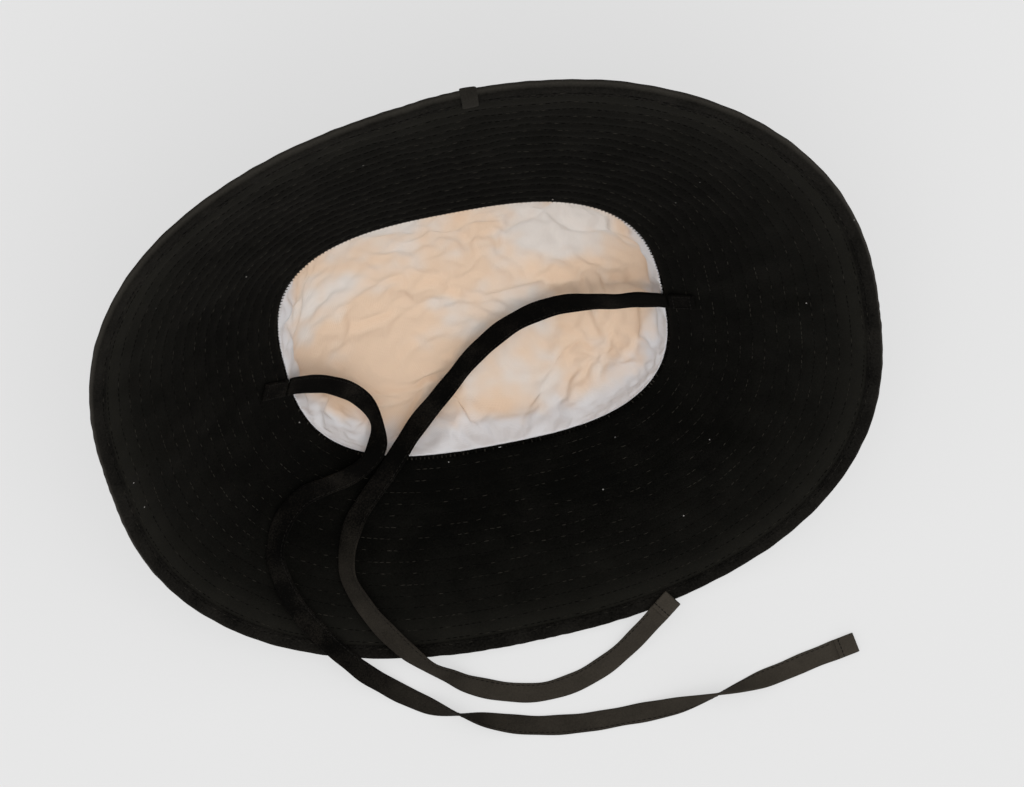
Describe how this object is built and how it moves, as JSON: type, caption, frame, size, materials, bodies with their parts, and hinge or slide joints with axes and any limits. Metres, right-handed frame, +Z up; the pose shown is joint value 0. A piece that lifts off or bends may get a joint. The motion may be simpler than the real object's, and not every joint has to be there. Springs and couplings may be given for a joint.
{
  "type": "wide-brimmed hat",
  "caption": "Black cloth wide-brimmed hat lying upside down, with a stitched brim, bound edge, pale loose lining and flat chin ties.",
  "frame": {"origin": "on the surface the hat lies on, under the middle of the hat without its ties", "axes": "+Z up from the surface the hat lies on, +X along the hat's long side, -Y towards the low front of the head opening"},
  "size_m": [0.3688, 0.3064, 0.25],
  "materials": {
    "black_cloth": "matt black cotton with a short nap, faded on the ridges",
    "binding_cloth": "matt black cotton, worn brown-grey along the edge",
    "interlining": "stiff grey woven cotton, hidden inside the brim",
    "black_thread": "black cotton sewing thread",
    "cream_lining": "plain-woven pale peach cotton, matt and creased",
    "tie_tape": "folded black cotton tape, matt"
  },
  "bodies": {
    "hat": {"brim_under_cloth": "black_cloth", "brim_interlining": "interlining", "brim_top_cloth": "black_cloth", "brim_binding": "binding_cloth", "binding_lap": "binding_cloth", "brim_stitching": "black_thread", "crown_side_left": "black_cloth", "crown_side_right": "black_cloth", "crown_tip": "black_cloth", "crown_tip_seam": "black_cloth", "lining_left": "cream_lining", "lining_right": "cream_lining", "lining_tip": "cream_lining", "head_seam_allowance": "black_cloth", "head_seam_thread": "black_thread", "left_tie_tack": "tie_tape", "right_tie_tack": "tie_tape"},
    "left_tie": {"left_tie": "tie_tape", "left_tie_hem": "tie_tape"},
    "right_tie": {"right_tie": "tie_tape", "right_tie_hem": "tie_tape"}
  },
  "joints": [
    {"name": "left_tie_swing", "type": "hinge", "parent": "hat", "child": "left_tie", "pos_m": [-0.0941, 0.0114, 0.0885], "axis": [-0.6157, -0.5273, -0.5856], "range_deg": [0, 30]},
    {"name": "right_tie_swing", "type": "hinge", "parent": "hat", "child": "right_tie", "pos_m": [0.0877, 0.0222, 0.1007], "axis": [-0.6691, 0.4973, 0.5523], "range_deg": [0, 30]}
  ]
}
